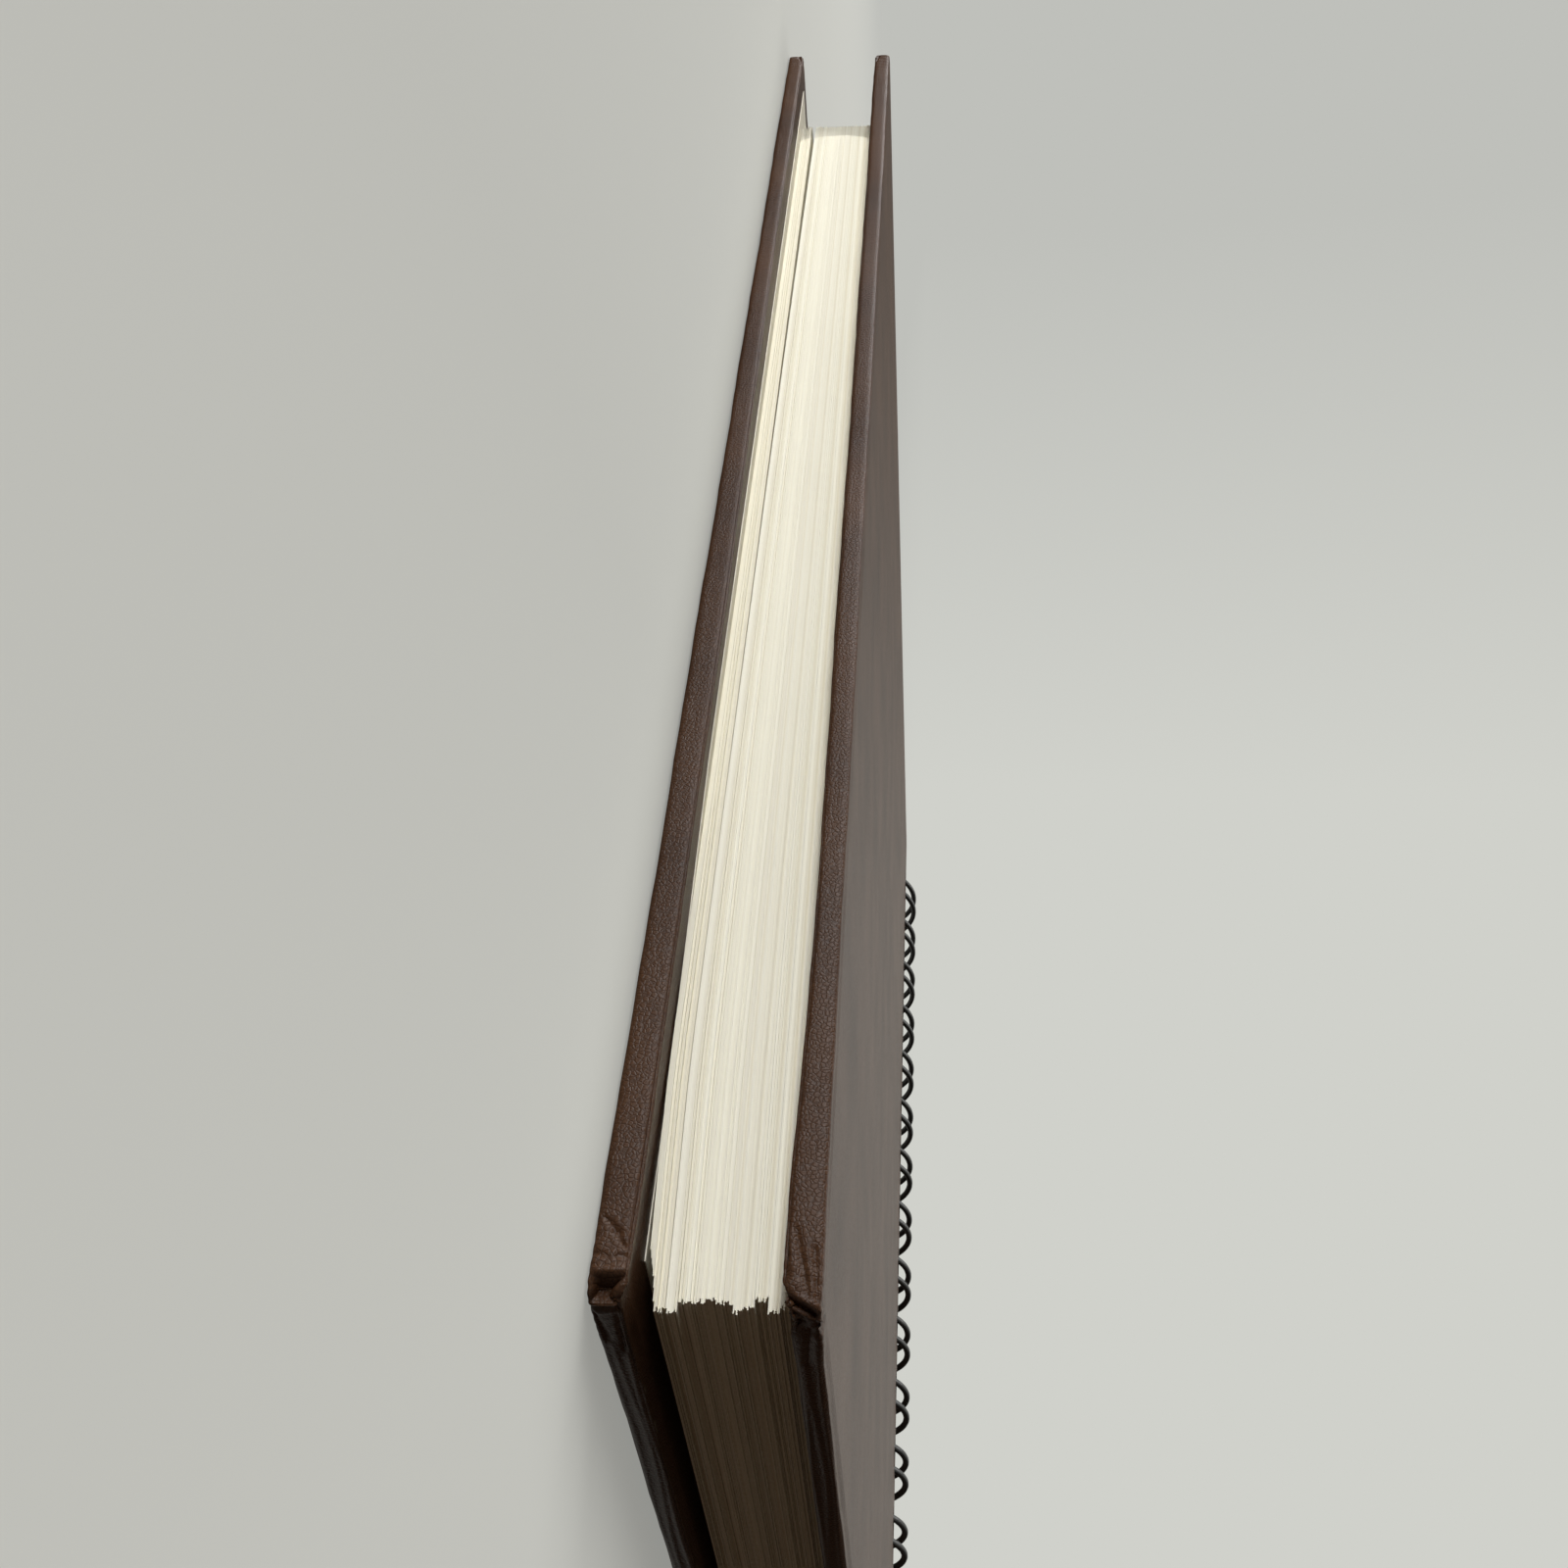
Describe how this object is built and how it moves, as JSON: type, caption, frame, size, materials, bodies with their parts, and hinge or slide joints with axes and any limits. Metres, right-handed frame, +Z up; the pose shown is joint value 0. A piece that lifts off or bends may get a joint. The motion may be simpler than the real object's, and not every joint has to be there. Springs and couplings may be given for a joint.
{
  "type": "wire-bound journal",
  "caption": "Hardcover journal in brown leatherette, blank cream leaves, held by a black twin-loop wire along the spine; both covers and the leaves turn about the wire.",
  "frame": {"origin": "centre of the journal's bounding box, on the surface it lies on", "axes": "+X from the wire to the fore-edge, +Y from tail to head, +Z up out of the front cover"},
  "size_m": [0.2102, 0.2296, 0.0229],
  "materials": {
    "grey_board": "raw grey board",
    "leatherette": "fine-grained brown leatherette, satin",
    "endpaper": "matt cream paper",
    "leaf_paper": "matt uncoated cream paper",
    "coated_wire": "black nylon-coated steel wire, satin"
  },
  "bodies": {
    "back_cover": {"back_board": "grey_board", "back_wrap": "leatherette", "back_liner": "endpaper", "binding_wire": "coated_wire"},
    "pages": {"page_block": "leaf_paper"},
    "front_cover": {"front_board": "grey_board", "front_wrap": "leatherette", "front_liner": "endpaper"}
  },
  "joints": [
    {"name": "page_turn", "type": "hinge", "parent": "back_cover", "child": "pages", "pos_m": [-0.09398, 0, 0.01176], "axis": [0, -1, 0], "range_deg": [0, 180]},
    {"name": "front_cover_turn", "type": "hinge", "parent": "pages", "child": "front_cover", "pos_m": [-0.09398, 0, 0.01176], "axis": [0, -1, 0], "range_deg": [0, 180]}
  ]
}
